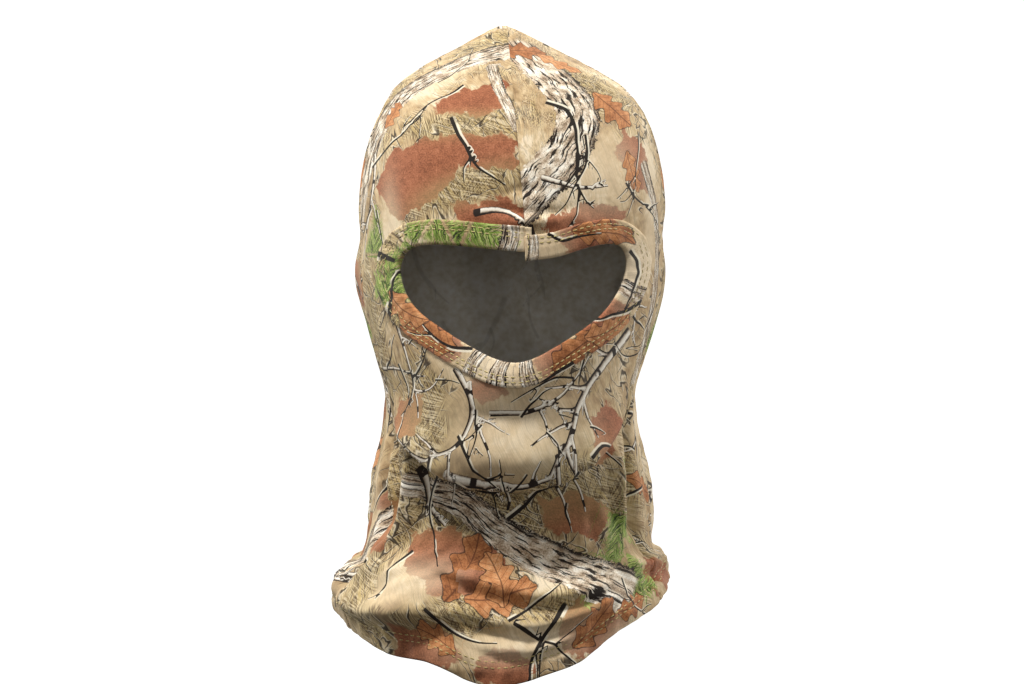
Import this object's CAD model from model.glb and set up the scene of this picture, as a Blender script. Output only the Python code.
import bpy, bmesh, math
import numpy as np
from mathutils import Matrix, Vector


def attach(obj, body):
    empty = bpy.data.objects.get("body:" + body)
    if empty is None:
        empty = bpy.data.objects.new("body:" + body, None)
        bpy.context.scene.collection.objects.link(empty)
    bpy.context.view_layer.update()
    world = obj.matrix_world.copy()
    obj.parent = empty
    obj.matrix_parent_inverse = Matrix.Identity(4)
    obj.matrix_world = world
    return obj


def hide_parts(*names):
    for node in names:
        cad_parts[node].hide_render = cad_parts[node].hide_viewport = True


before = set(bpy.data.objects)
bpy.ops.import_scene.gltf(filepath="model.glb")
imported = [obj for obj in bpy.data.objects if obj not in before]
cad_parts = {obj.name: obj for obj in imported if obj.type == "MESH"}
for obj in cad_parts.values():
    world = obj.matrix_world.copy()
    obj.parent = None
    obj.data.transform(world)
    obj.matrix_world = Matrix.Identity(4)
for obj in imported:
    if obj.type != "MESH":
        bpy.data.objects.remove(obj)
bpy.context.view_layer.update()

MM = 0.001
TURN = 6.28  # one whole wave, in radians, rounded

# ---------------------------------------------------------------- the worn shape (mm)
# height, half width, reach to the front and to the back, squareness of the front half
STATIONS = np.array([
    (-232, 84.0, 113.5, 96.0, 2.3), (-200, 88.0, 112.5, 97.0, 2.3), (-182, 89.5, 109.0, 95.5, 2.3),
    (-168, 88.0, 104.0, 92.0, 2.3), (-155, 82.0, 98.0, 87.0, 2.3), (-140, 76.0, 94.0, 82.0, 2.3),
    (-122, 74.0, 94.0, 79.0, 2.2), (-108, 72.0, 101.0, 78.0, 2.1), (-95, 69.0, 108.5, 78.0, 2.0),
    (-78, 66.0, 112.0, 79.5, 2.0), (-60, 67.0, 112.0, 82.5, 2.0), (-46, 71.0, 110.0, 86.0, 2.1),
    (-30, 76.0, 105.5, 91.0, 2.2), (-14, 80.0, 101.5, 96.0, 2.3), (0, 81.5, 99.5, 99.5, 2.3),
    (20, 82.0, 98.5, 101.0, 2.3), (40, 82.0, 95.0, 101.0, 2.3), (60, 79.8, 89.5, 97.5, 2.2),
    (80, 74.0, 79.0, 90.0, 2.2), (98, 64.0, 64.0, 78.5, 2.1), (112, 50.5, 46.0, 64.0, 2.1),
    (122, 34.5, 26.0, 46.0, 2.0), (129, 16.5, 6.0, 27.0, 2.0), (130.9, 4.0, -6.5, 14.5, 2.0)])
BACK_SQUARE = 2.2
# lowest and highest row of the form's table, the step between rows, and the columns round it
Z0, Z1, ZSTEP, COLS = -231.0, 130.85, 0.75, 352
CROWN_FROM, CROWN_OVER = 84.0, 38.0  # where the print turns into a plan view, and over what height
SEAM_Y, SEAM_LEAN = -30.0, 0.15  # the long seam's plane: y at height 0, and y gained per mm of height
HEM_LOW, HEM_RADIUS, HEM_TILT = -211.0, 117.0, 0.10  # the hem's edge is an arc seen from the front, tilted
HEM_DEPTH, CLOTH = 14.0, 0.8  # depth of the turned hem, thickness of the cloth
HEM_ROWS = (9.0, 12.0)  # the twin needle's rows, above the hem's edge
COLLAR_Z = -149.0  # where the top of the cowl rolls over
FOREHEAD_X, FOREHEAD_LEAN = 8.6, 0.085  # the forehead seam: x at height 0, and x lost per mm of height


def smooth(t):
    """0 to 1, easing in and out."""
    t = np.clip(t, 0.0, 1.0)
    return t * t * (3 - 2 * t)


def bell(distance, width):
    """1 in the middle, fading out on both sides."""
    return np.exp(-(distance / width) ** 2)


def fade(distance, width):
    """1 up to a place, fading out past it."""
    return np.exp(-np.maximum(distance, 0) / width)


def cubic(xs, ys, x):
    """Catmull-Rom through uneven stations."""
    x = np.clip(x, xs[0], xs[-1])
    i = np.clip(np.searchsorted(xs, x, side="right") - 1, 0, len(xs) - 2)
    a, b = np.maximum(i - 1, 0), np.minimum(i + 2, len(xs) - 1)
    h = xs[i + 1] - xs[i]
    t = (x - xs[i]) / h
    m0 = (ys[i + 1] - ys[a]) / (xs[i + 1] - xs[a]) * h
    m1 = (ys[b] - ys[i]) / (xs[b] - xs[i]) * h
    return ((2*t**3 - 3*t**2 + 1) * ys[i] + (t**3 - 2*t**2 + t) * m0
            + (3*t**2 - 2*t**3) * ys[i + 1] + (t**3 - t**2) * m1)


def lengths(points):
    """How far along a line each of its points is."""
    return np.concatenate([[0], np.cumsum(np.linalg.norm(np.diff(points, axis=0), axis=1))])


def search(like, high, rounds, is_low):
    """The numbers between 0 and high where is_low turns false."""
    lo, hi = np.zeros_like(like), np.full_like(like, high)
    for _ in range(rounds):
        mid = (lo + hi) / 2
        low = is_low(mid)
        lo, hi = np.where(low, mid, lo), np.where(low, hi, mid)
    return lo


def make_table():
    """For each height, COLS + 1 evenly spaced points round the form from the front, and its girth."""
    zs = np.arange(Z0, Z1 + ZSTEP, ZSTEP)
    zs[-1] = Z1
    ang = np.linspace(0, 2 * np.pi, 4 * 360 + 1)
    s, c = np.sin(ang), np.cos(ang)
    xy, girth = np.zeros((len(zs), COLS + 1, 2)), np.zeros(len(zs))
    cols = [cubic(STATIONS[:, 0], STATIONS[:, k], zs) for k in range(1, 5)]
    for i in range(len(zs)):
        half_width, to_front, to_back, square = (col[i] for col in cols)
        p = np.where(c > 0, 2 / square, 2 / BACK_SQUARE)
        x = half_width * np.sign(s) * np.abs(s) ** p
        y = (to_back - to_front) / 2 - (to_front + to_back) / 2 * np.sign(c) * np.abs(c) ** p
        d = np.concatenate([[0], np.cumsum(np.hypot(np.diff(x), np.diff(y)))])
        at = np.linspace(0, d[-1], COLS + 1)
        xy[i, :, 0], xy[i, :, 1] = np.interp(at, d, x), np.interp(at, d, y)
        girth[i] = d[-1]
    return zs, xy, girth


TZ, TXY, GIRTH = make_table()
FRONT_Y = TXY[:, 0, 1]
EYES_Z = 20.0  # below this the front is nearly upright, so a height on the cloth is just z
_climb = np.concatenate([[0], np.cumsum(np.hypot(np.diff(FRONT_Y), np.diff(TZ)))])
CLIMB = np.where(TZ < EYES_Z, TZ, _climb - np.interp(EYES_Z, TZ, _climb) + EYES_Z)


def v_of(z):
    """How far up the middle of the front a height is, measured on the cloth."""
    return np.interp(z, TZ, CLIMB)


def base(frac, z):
    """The bare form at a fraction of the way round (0 front, rising to the wearer's left) and a height."""
    z = np.clip(z, Z0, Z1)
    col, row = np.mod(frac, 1.0) * COLS, np.clip((z - Z0) / ZSTEP, 0, len(TZ) - 1.001)
    k, i = np.minimum(col.astype(int), COLS - 1), row.astype(int)
    across, up = (col - k)[..., None], (row - i)[..., None]
    p = ((TXY[i, k] * (1 - across) + TXY[i, k + 1] * across) * (1 - up)
         + (TXY[i + 1, k] * (1 - across) + TXY[i + 1, k + 1] * across) * up)
    return np.concatenate([p, z[..., None]], -1)


def uv(frac, z, back=False):
    """Unrolled place in mm: distance round the head from the front (or back) middle, and up the middle.
    Over the crown it turns into the place seen from above, so that nothing is pinched at the top."""
    f = np.mod(frac, 1.0)
    from_middle = (f - 0.5) if back else np.where(f > 0.5, f - 1, f)
    u, v = from_middle * np.interp(z, TZ, GIRTH), v_of(z)
    p, top = base(f, np.asarray(z, float)), smooth((z - CROWN_FROM) / CROWN_OVER)
    side = -1 if back else 1
    above = v_of(Z1) + side * (p[..., 1] - FRONT_Y[-1])
    return u + top * (side * p[..., 0] - u), v + top * (above - v)


def frac_at(x, z):
    """The fraction round the form of a place seen from the front."""
    return np.sign(x) * search(x, 0.25, 22, lambda mid: base(mid, z)[..., 0] < np.abs(x))


def from_front(points):
    """(x, z) places seen from the front, unrolled."""
    p = np.array(points, float)
    u, v = uv(frac_at(p[:, 0], p[:, 1]), p[:, 1])
    return np.stack([u, v], -1)


def spline(points, n):
    """A smooth line of n points through 2-D or 3-D points."""
    p = np.asarray(points, float)
    d = lengths(p)
    t = np.linspace(0, d[-1], n)
    return np.stack([cubic(d, p[:, k], t) for k in range(p.shape[1])], -1)


def along(u, v, line):
    """Signed distance (left of the line is +), fraction along and distance, from each place to a line."""
    best = np.full(u.shape, 1e9)
    sgn, frac = np.zeros(u.shape), np.zeros(u.shape)
    seg = np.diff(line, axis=0)
    length = np.linalg.norm(seg, axis=1)
    total, run = length.sum(), 0.0
    for a, e, l in zip(line[:-1], seg, length):
        du, dv = u - a[0], v - a[1]
        t = np.clip((du * e[0] + dv * e[1]) / (l * l), 0, 1)
        d = np.hypot(du - t * e[0], dv - t * e[1])
        s = (e[0] * dv - e[1] * du) / l
        near = d < best
        best = np.where(near, d, best)
        sgn = np.where(near, s, sgn)
        frac = np.where(near, (run + t * l) / total, frac)
        run += l
    return sgn, frac, best


# ---------------------------------------------------------------- folds
# kind (r round, c crease, o overlap), line, width, height (mm).  Lines are seen from the front here
FRONT_FOLDS = [
    ("o", [(-64, -46), (-59, -74), (-48, -94), (-27, -107), (4, -111), (30, -105), (50, -88), (60, -66),
           (66, -42)], 14, 6.0),
    ("r", [(-62, -62), (-63, -90), (-64, -118), (-69, -146)], 7, -7.0),
    ("r", [(-55, -78), (-52, -106), (-56, -132), (-68, -152)], 5, 3.8),
    ("c", [(-59, -84), (-57, -110), (-61, -134)], 2.2, -2.6),
    ("c", [(-50, -100), (-46, -122), (-52, -142)], 2.4, -2.6),
    ("r", [(62, -64), (64, -92), (65, -120), (69, -146)], 7, -7.0),
    ("r", [(54, -84), (56, -112), (60, -138)], 5, 3.2),
    ("c", [(57, -78), (60, -104), (61, -128)], 2.2, -2.4),
    ("r", [(-74, -138), (-62, -150), (-46, -164), (-52, -176), (-76, -178)], 11, 3.6),
    ("o", [(-84, -175), (-68, -180), (-46, -180.5), (-24, -178), (-8, -175)], 13, 7.6),
    ("c", [(-20, -177), (-46, -181), (-72, -180)], 2.4, -3.2),
    ("o", [(-40, -152), (-18, -160), (8, -167), (34, -168), (58, -160)], 12, 4.2),
    ("o", [(-30, -172), (-6, -180), (18, -182), (42, -176), (64, -166)], 10, 4.4),
    ("o", [(-22, -188), (2, -194), (24, -192), (44, -184), (62, -174)], 9, 3.0),
    ("o", [(-64, -192), (-44, -199), (-20, -203), (4, -203)], 8, 2.4),
    ("c", [(-8, -138), (4, -146), (22, -150), (40, -148)], 3.2, -2.4),
    ("c", [(60, -157), (68, -155.5), (78, -158), (86, -160)], 2.8, -2.4),
    ("r", [(58, -150), (68, -148), (80, -151)], 5.0, 1.6),
    ("c", [(52, -170), (66, -165), (80, -168)], 2.6, -1.3),
    ("r", [(-86, -158), (-82, -168), (-80, -180)], 6, 2.2),
    ("c", [(-70, -152), (-78, -160), (-84, -172)], 2.4, -2.2),
    ("c", [(-16, 34), (-4, 31.5), (9, 30), (24, 30.5), (36, 34)], 2.0, -2.8),
    ("r", [(-12, 27), (6, 25), (28, 27)], 3.4, 2.0),
    ("c", [(-6, 38), (4, 42), (14, 41)], 2.0, -2.0),
    ("r", [(-30, 18), (-22, 27), (-12, 33)], 3.5, 0.7),
    ("r", [(44, 18), (34, 27), (22, 32)], 3.5, 0.8),
    ("c", [(-24, -70), (-4, -75), (20, -73)], 5.0, -1.3),
    ("r", [(-32, -88), (0, -95), (34, -87)], 7, 1.0),
    ("r", [(-70, -18), (-64, -44), (-56, -62)], 4, 0.8),
    ("r", [(70, -16), (64, -42), (57, -62)], 4, 0.8),
    ("c", [(-74, -8), (-70, -34), (-63, -56)], 2.4, -0.8),
    ("c", [(74, -6), (70, -32), (63, -56)], 2.4, -0.8),
    ("c", [(-40, -116), (-20, -124), (4, -127), (26, -123), (44, -112)], 3.0, -1.4),
    ("r", [(-36, -130), (-8, -138), (22, -136), (46, -126)], 5.0, 1.5),
    ("c", [(-30, -146), (-4, -150), (24, -148), (44, -142)], 3.0, -1.2),
]
# and unrolled round the back here
BACK_FOLDS = [
    ("r", [(-96, -40), (-98, -80), (-104, -120), (-118, -160)], 9, 3.6),
    ("c", [(-84, -58), (-86, -96), (-92, -134), (-104, -164)], 3.2, -2.2),
    ("r", [(-66, -50), (-66, -92), (-70, -130), (-80, -168)], 8, 2.8),
    ("c", [(-50, -66), (-50, -100), (-54, -142)], 3.0, -1.6),
    ("r", [(96, -40), (98, -82), (103, -122), (116, -162)], 9, 3.6),
    ("c", [(84, -56), (86, -94), (91, -132), (102, -166)], 3.2, -2.2),
    ("r", [(64, -54), (66, -94), (70, -134), (80, -166)], 8, 2.8),
    ("c", [(46, -62), (48, -104), (54, -140)], 3.0, -1.6),
    ("r", [(-24, -62), (-20, -96), (-24, -130)], 8, 1.8),
    ("r", [(22, -56), (20, -92), (26, -132)], 8, 1.8),
    ("c", [(-40, -104), (-10, -110), (22, -106), (48, -96)], 3.4, -1.8),
    ("r", [(-44, -114), (-8, -121), (30, -117), (54, -108)], 6, 2.0),
    ("c", [(-56, -128), (-18, -136), (24, -133), (58, -124)], 3.2, -1.9),
    ("r", [(-62, -167), (-20, -172), (24, -171), (66, -164)], 6, 2.4),
    ("c", [(-88, -170), (-44, -181), (0, -184), (44, -180), (86, -168)], 3.4, -1.8),
    ("c", [(-122, -120), (-118, -138), (-124, -158)], 3.0, -2.4),
    ("c", [(122, -116), (118, -136), (124, -158)], 3.0, -2.4),
    ("r", [(-60, 96), (-20, 104), (24, 103), (62, 94)], 14, 0.5),
]
COWL_TOP = -120  # folds that start below this are deeper


def laid(folds, unroll, boost):
    """Folds with smooth unrolled lines and their final heights."""
    return [(kind, spline(unroll(line), 6 * len(line)), width, height * boost(line[0][1]))
            for kind, line, width, height in folds]


FRONT_FOLDS = laid(FRONT_FOLDS, from_front, lambda z: 1.6 if z < COWL_TOP else 1.3)
BACK_FOLDS = laid(BACK_FOLDS, np.array, lambda z: 1.6)


def fold(kind, line, width, height, u, v):
    """One fold's height at each place."""
    out = np.zeros(u.shape)
    reach = 5.0 * width + 4
    lo, hi = line.min(0) - reach, line.max(0) + reach
    near = (u > lo[0]) & (u < hi[0]) & (v > lo[1]) & (v < hi[1])
    if not near.any():
        return out
    s, t, d = along(u[near], v[near], line)
    past = np.sqrt(np.maximum(d * d - s * s, 0))
    taper = smooth(t / 0.3) * smooth((1 - t) / 0.3) * 0.85 + 0.15
    if kind == "r":
        shape = bell(s, width)
    elif kind == "c":
        shape = np.exp(-np.sqrt(s * s + 0.5) / width)
    else:
        side = 0.5 + 0.5 * np.tanh(s / (1.9 + 0.5 * max(height - 8, 0)))
        shape = side * fade(s, width) - 0.55 * (1 - side) * fade(-s, 0.55 * width)
    out[near] = height * shape * bell(past, width + 2) * taper
    return out


def waves(u, v, seed, count, low, high):
    """A seeded field of crossing waves, about -1 to 1; low and high bound their lengths."""
    rng = np.random.default_rng(seed)
    out = np.zeros(u.shape)
    for _ in range(count):
        turn, size, phase = rng.uniform(0, np.pi), rng.uniform(low, high), rng.uniform(0, 6.28, 2)
        bend = 0.9 * np.sin((u * np.sin(turn) - v * np.cos(turn)) / (size * 1.7) * TURN + phase[1])
        out += np.sin((u * np.cos(turn) + v * np.sin(turn)) / size * TURN + phase[0] + bend)
    return out / math.sqrt(count) / 1.2


def seam_line_x(z):
    """The forehead seam leans: towards the wearer's left at the brow."""
    return FOREHEAD_X - FOREHEAD_LEAN * z


def ears(x, y, z):
    """The ears under the cloth, and the hollows above them."""
    out = 0.0
    for side in (-1, 1):
        beside = bell(x - 81 * side, 30)
        out += (1.9 - 1.1 * side) * beside * bell(y - 2, 15) * bell(z + 1, 17)
        out -= (1.8 + 0.6 * side) * beside * bell(y + 4, 22) * bell(z - 20, 9)
    return out


def features(x, y, z):
    """Nose, mouth and chin under the mask."""
    nose = 3.0 * bell(x - 1, 15) * bell(z + 55, 10)
    mouth = 1.6 * bell(x - 1, 26) * bell(z + 76, 7)
    chin = 2.2 * bell(x - 1, 24) * bell(z + 97, 10)
    return (y < -60) * (nose - mouth + chin)


def collar(frac, x, z):
    """The top of the cowl, rolled over the neck at the sides and back."""
    around = np.abs(np.mod(frac + 0.5, 1.0) - 0.5)
    drop = COLLAR_Z + 0.045 * np.minimum(x, 0) + np.sin(around * 26) - z
    lip = 0.5 + 0.5 * np.tanh(drop / 3.0)
    roll = lip * fade(drop, 15) * 5.2 - (1 - lip) * fade(-drop, 10) * 3.0
    return roll * smooth((around - 0.09) / 0.08)


def seam_grooves(x, y, z):
    """The long seam and the forehead seam sit in grooves, with small puckers beside them."""
    gap = (y - SEAM_Y - SEAM_LEAN * z) / math.sqrt(1 + SEAM_LEAN ** 2)
    run = np.where(np.abs(x) < 60, x, np.sign(x) * (130 - z))
    pucker = 0.5 + 0.5 * np.sin(run / 7.3 * TURN + 1.4 * np.sin(run / 23))
    out = (0.25 + 0.30 * pucker) * bell(np.abs(gap) - 3.2, 2.2) - 0.95 * bell(gap, 0.9)
    off = np.where((y < 0) & (z > 4) & (gap < 0), x - seam_line_x(z), 99)
    pucker = 0.5 + 0.5 * np.sin(z / 6.1 * TURN + np.sin(z / 9))
    return out + (0.2 + 0.25 * pucker) * bell(np.abs(off) - 2.8, 1.8) - 0.9 * bell(off, 0.9)


def hem_relief(u, above):
    """The twin-needle hem: two dimpled rows, and cloth slightly swollen below them."""
    dimple = 0.5 + 0.5 * np.sin(u / 3.6 * TURN)
    out = 0.5 * smooth((15 - above) / 3)
    for row in HEM_ROWS:
        out -= (0.22 + 0.2 * dimple) * bell(above - row, 0.7)
    return out + 0.35 * np.sin(u / 9.0 * TURN + 2 * np.sin(u / 31)) * bell(above - 10, 7)


def relief(frac, z):
    """How far the cloth stands off the bare form."""
    u, v = uv(frac, z)
    ub, vb = uv(frac, z, back=True)
    p = base(frac, z)
    x, y = p[..., 0], p[..., 1]
    out = np.zeros(u.shape)
    for spec in FRONT_FOLDS:
        out += fold(*spec, u, v)
    for spec in BACK_FOLDS:
        out += fold(*spec, ub, vb)
    above = z - hem_z(frac)
    out *= 0.25 + 0.75 * smooth((above - 6.5) / 8)  # the stitched hem is stiffer
    neck = smooth((-66 - z) / 40)
    out += waves(ub, v * 0.45, seed=5, count=9, low=13, high=34) * (0.10 + 0.75 * neck)
    out += waves(ub, v, seed=11, count=8, low=6, high=15) * (0.05 + 0.20 * neck)
    out += ears(x, y, z) + features(x, y, z) + collar(frac, x, z)
    return out + seam_grooves(x, y, z) + hem_relief(u, above)


def hem_z(frac):
    """Height of the hem's edge: an arc seen from the front, lifted where the cloth is bunched up."""
    frac = np.asarray(frac, float)
    z = np.full(frac.shape, HEM_LOW)
    for _ in range(8):
        p = base(frac, z)
        x = np.clip(p[..., 0], -100, 100)
        arc = HEM_RADIUS - np.sqrt(HEM_RADIUS ** 2 - x ** 2)
        lift = 12.0 * bell(x + 39, 22) + 2.0 * bell(x - 27, 14) + 3.5 * bell(x - 64, 16)
        z = HEM_LOW + arc + HEM_TILT * x + lift * smooth(0.5 - p[..., 1] / 40)
    return z + 1.2 * np.sin(frac * TURN * 5 + 0.6) + 0.8 * np.sin(frac * TURN * 9 + 2.0)


def bend(p):
    """The worn hood's lean to one side, its hem drawn in, and its narrow peak at the crown."""
    q = p.copy()
    x, y, z = p[..., 0], p[..., 1], p[..., 2]
    top = smooth((z - 97) / 38)
    narrow = (1 - 0.055 * smooth((-172 - z) / 18)) * (1 - 0.34 * top)
    q[..., 0] = x * narrow - 1.0 * top - 3.0 * smooth((z - 85) / 30)
    q[..., 0] -= 4.0 * smooth((-135 - z) / 45) + 1.0 * smooth(-z / 60)
    peak = np.exp(-np.abs((x + 2) / 17) ** 1.5) * bell(y + 8, 18)
    q[..., 2] += 4.2 * peak * smooth((z - 90) / 30)
    return q


def skin(frac, z, off=0.0):
    """A point on the cloth's outside, moved off it."""
    frac, z = np.asarray(frac, float), np.asarray(z, float)
    aside = 0.6  # the slope is taken between points this far to each side
    turn = aside / np.interp(z, TZ, GIRTH)
    du = base(frac + turn, z) - base(frac - turn, z)
    dv = base(frac, np.minimum(z + aside, Z1)) - base(frac, z - aside)
    n = np.cross(du, dv)
    n /= np.linalg.norm(n, axis=-1, keepdims=True) + 1e-12
    return bend(base(frac, z) + n * (relief(frac, z) + off)[..., None])


# ---------------------------------------------------------------- meshes
def mesh_object(name, verts, faces, attrs, mats):
    """A smooth mesh from points in mm, with numbers or vectors at its points for the materials."""
    me = bpy.data.meshes.new(name)
    me.from_pydata((np.asarray(verts) * MM).tolist(), [], faces)
    for key, val in attrs.items():
        val = np.asarray(val, np.float32)
        kind = "FLOAT" if val.ndim == 1 else "FLOAT_VECTOR"
        at = me.attributes.new(key, kind, "POINT")
        at.data.foreach_set("value" if val.ndim == 1 else "vector", val.ravel())
    ob = bpy.data.objects.new(name, me)
    bpy.context.scene.collection.objects.link(ob)
    for m in mats:
        me.materials.append(m)
    me.polygons.foreach_set("use_smooth", [True] * len(me.polygons))
    return ob


def uv_attr(u, v, w=0.0):
    """The attribute that says where the print lies."""
    return np.stack([u, v, w + 0 * u], -1)


def ring_faces(n_low, n_high, low, high):
    """Faces between a ring of n_low points that starts at low, and one of as many or half as many above."""
    if n_low == n_high:
        return [(low + i, low + (i + 1) % n_low, high + (i + 1) % n_low, high + i) for i in range(n_low)]
    out = []
    for i in range(n_high):
        a, b, c = low + 2 * i, low + 2 * i + 1, low + (2 * i + 2) % n_low
        p, q = high + i, high + (i + 1) % n_high
        out += [(a, b, p), (b, q, p), (b, c, q)]
    return out


def hood_grid():
    """Rings from inside the turned hem, round its edge, up to the crown: fraction, height and inset."""
    rings = []
    full = np.arange(COLS) / COLS
    edge = hem_z(full)
    for h in np.linspace(HEM_DEPTH, 1.6, 8):  # the turned layer inside
        rings.append((full, edge + h, np.full(COLS, -CLOTH - 0.9 - 0.9 * smooth((h - 1.6) / 6))))
    for a in (30, 60, 90, 120, 150):  # round the hem's edge
        r = math.radians(a)
        rings.append((full, edge + 0.9 - 0.9 * math.sin(r), np.full(COLS, -0.85 - 0.85 * math.cos(r))))
    level_from = -118.0
    for t in np.linspace(0, 1, 56):  # the cowl, from the hem's slope to level rings
        rings.append((full, (edge + 1.0) * (1 - t) + level_from * t, np.zeros(COLS)))
    z, columns = level_from, COLS
    while z < Z1 - 0.25:
        widths = cubic(STATIONS[:, 0], STATIONS[:, 1], np.array([z, z + 0.3]))
        slope = abs(widths[1] - widths[0]) / 0.3
        z = min(z + 1.65 / math.hypot(1, slope * 1.1), Z1 - 0.2)
        if np.interp(z, TZ, GIRTH) / columns < 0.85 and columns > 22:  # fewer columns near the crown
            columns //= 2
        rings.append((np.arange(columns) / columns, np.full(columns, z), np.zeros(columns)))
    return rings


def build_hood():
    """The whole hood before it is cut: its points and faces, and each point's fraction and height."""
    rings = hood_grid()
    frac, z, off = (np.concatenate([r[k] for r in rings]) for k in range(3))
    verts = skin(frac, z, off)
    faces, start = [], 0
    for a, b in zip(rings[:-1], rings[1:]):
        faces += ring_faces(len(a[0]), len(b[0]), start, start + len(a[0]))
        start += len(a[0])
    last = len(rings[-1][0])
    pole = len(verts)
    verts = np.vstack([verts, verts[start:start + last].mean(0) + [0, 0, 0.1]])
    faces += [(start + i, start + (i + 1) % last, pole) for i in range(last)]
    return verts, faces, np.append(frac, 0), np.append(z, Z1)


def bisect(bm, faces, place, normal, **clear):
    """Cut some faces of a mesh with a plane; returns the new edges."""
    edges = list(dict.fromkeys(e for f in faces for e in f.edges))
    corners = list(dict.fromkeys(v for f in faces for v in f.verts))
    cut = bmesh.ops.bisect_plane(bm, geom=faces + edges + corners, dist=1e-6, plane_co=place, plane_no=normal,
                                 **clear)["geom_cut"]
    return [e for e in cut if isinstance(e, bmesh.types.BMEdge)]


def cut_panels(verts, faces, frac, z):
    """Split the hood along the long seam's plane; returns front and back as (verts, faces, frac, z)."""
    out = []
    for front in (True, False):
        ob = mesh_object("hood_tmp", verts, faces, {
            "cs": np.cos(frac * 2 * np.pi), "sn": np.sin(frac * 2 * np.pi), "zz": z}, [])
        bm = bmesh.new()
        bm.from_mesh(ob.data)
        bisect(bm, bm.faces[:], (0, SEAM_Y * MM, 0), Vector((0, 1, -SEAM_LEAN)).normalized(),
               clear_outer=front, clear_inner=not front)
        if front:  # the forehead seam parts the print, so the cloth is parted there too
            upper = [f for f in bm.faces if f.calc_center_median().z > 0.002]
            parted = bisect(bm, upper, (FOREHEAD_X * MM, 0, 0), (1, 0, FOREHEAD_LEAN))
            bmesh.ops.split_edges(bm, edges=parted)
        me = bpy.data.meshes.new("panel_tmp")
        bm.to_mesh(me)
        bm.free()
        n = len(me.vertices)
        co = np.empty(n * 3, np.float32)
        me.vertices.foreach_get("co", co)
        col = {}
        for key in ("cs", "sn", "zz"):
            buf = np.empty(n, np.float32)
            me.attributes[key].data.foreach_get("value", buf)
            col[key] = buf.astype(float)
        polys = [tuple(p.vertices) for p in me.polygons]
        around = np.mod(np.arctan2(col["sn"], col["cs"]) / (2 * np.pi), 1.0)
        out.append((co.reshape(-1, 3).astype(float) / MM, polys, around, col["zz"]))
        bpy.data.objects.remove(ob)
        bpy.data.meshes.remove(me)
    return out


# the opening's edge seen from the front, from the middle of the brow to the wearer's left and round
OPENING = np.array([
    (6.6, 6.2), (23.9, 7.9), (38.6, 12.3), (49.5, 14.4), (56.4, 13.0), (59.4, 7.2), (58.6, -1), (54.9, -10.6),
    (46.7, -21.8), (35.1, -30.9), (23.9, -38.0), (12.2, -44.4), (2.6, -46.9), (-7.4, -44.9), (-22.9, -37.0),
    (-34.5, -29.9), (-46.2, -21.8), (-53.6, -13.6), (-57.4, -4.0), (-57.4, 5.0), (-52.6, 11.6), (-44.2, 13.8),
    (-30, 13.3), (-11.2, 11.2), (9.8, 8.2)])
BAND = 12.5  # width of the binding
BAND_ROWS = (7.5, 10.0)  # its stitch rows, from the opening's edge
RAW_EDGE = 6.0  # where the panel's raw edge lies inside it


def opening_line(n):
    """The opening's edge as an open line between the binding's ends, and its outward direction."""
    line = spline(OPENING, n)
    d = np.gradient(line, axis=0)
    for _ in range(3):
        d[1:-1] = (d[:-2] + 2 * d[1:-1] + d[2:]) / 4
    d /= np.linalg.norm(d, axis=1, keepdims=True)
    out = np.stack([-d[:, 1], d[:, 0]], -1)
    ends = np.array([0.0, 1.0])  # both ends stand upright, where they overlap
    w0 = bell(np.arange(n) / n, 0.02)[:, None]
    w1 = bell((n - 1 - np.arange(n)) / n, 0.02)[:, None]
    out = out * (1 - w0) * (1 - w1) + ends * np.maximum(w0, w1)
    return line, out / np.linalg.norm(out, axis=1, keepdims=True)


def inside_opening(x, z, grow):
    """Which places lie in the opening, widened by grow."""
    line, out = opening_line(260)
    poly = line + out * grow
    inside = np.zeros(x.shape, bool)
    for (xi, zi), (xj, zj) in zip(poly, np.roll(poly, 1, axis=0)):
        inside ^= ((zi > z) != (zj > z)) & (x < (xj - xi) * (z - zi) / (zj - zi + 1e-12) + xi)
    return inside


def cut_opening(verts, faces, frac, z):
    """The front panel less its opening, whose raw edge lies inside the binding."""
    p = base(frac, z)
    hit = inside_opening(p[:, 0], z, RAW_EDGE) & (p[:, 1] < -20)
    faces = [f for f in faces if not all(hit[list(f)])]
    used = np.zeros(len(verts), bool)
    for f in faces:
        used[list(f)] = True
    index = np.cumsum(used) - 1
    faces = [tuple(int(index[i]) for i in f) for f in faces]
    return verts[used], faces, frac[used], z[used]


def sweep(rings):
    """Faces over rings of the same number of points; the first and last are capped."""
    n, m = len(rings), len(rings[0])
    faces = [(i * m + j, i * m + (j + 1) % m, (i + 1) * m + (j + 1) % m, (i + 1) * m + j)
             for i in range(n - 1) for j in range(m)]
    return faces + [tuple(range(m))[::-1], tuple(range((n - 1) * m, n * m))]


def band_section():
    """Points round the folded strip: distance from the opening's edge and lift off the panel's outside,
    and how many of them are on the strip's outside."""
    section = [(BAND, 0.55)]
    section += [(g, 1.0 + 0.25 * math.sin(math.pi * g / BAND)) for g in np.linspace(BAND - 0.5, 0.8, 13)]
    section += [(0.25, 0.75), (-0.15, 0.1), (-0.25, -0.6), (0.0, -1.35), (0.6, -1.75)]
    section += [(g, -1.85) for g in np.linspace(1.8, BAND - 1.5, 8)]
    section += [(BAND - 0.5, -1.75), (BAND, -1.5)]
    outside = len(section)
    section += [(g, -1.15) for g in (BAND, BAND - 2.5, 5.0)]
    section += [(1.4, -1.25), (0.6, -0.9), (0.4, -0.4), (0.6, 0.1)]
    section += [(1.4, 0.45), (5.0, 0.5), (BAND - 2.5, 0.45), (BAND, 0.1)]
    return section, outside


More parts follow.
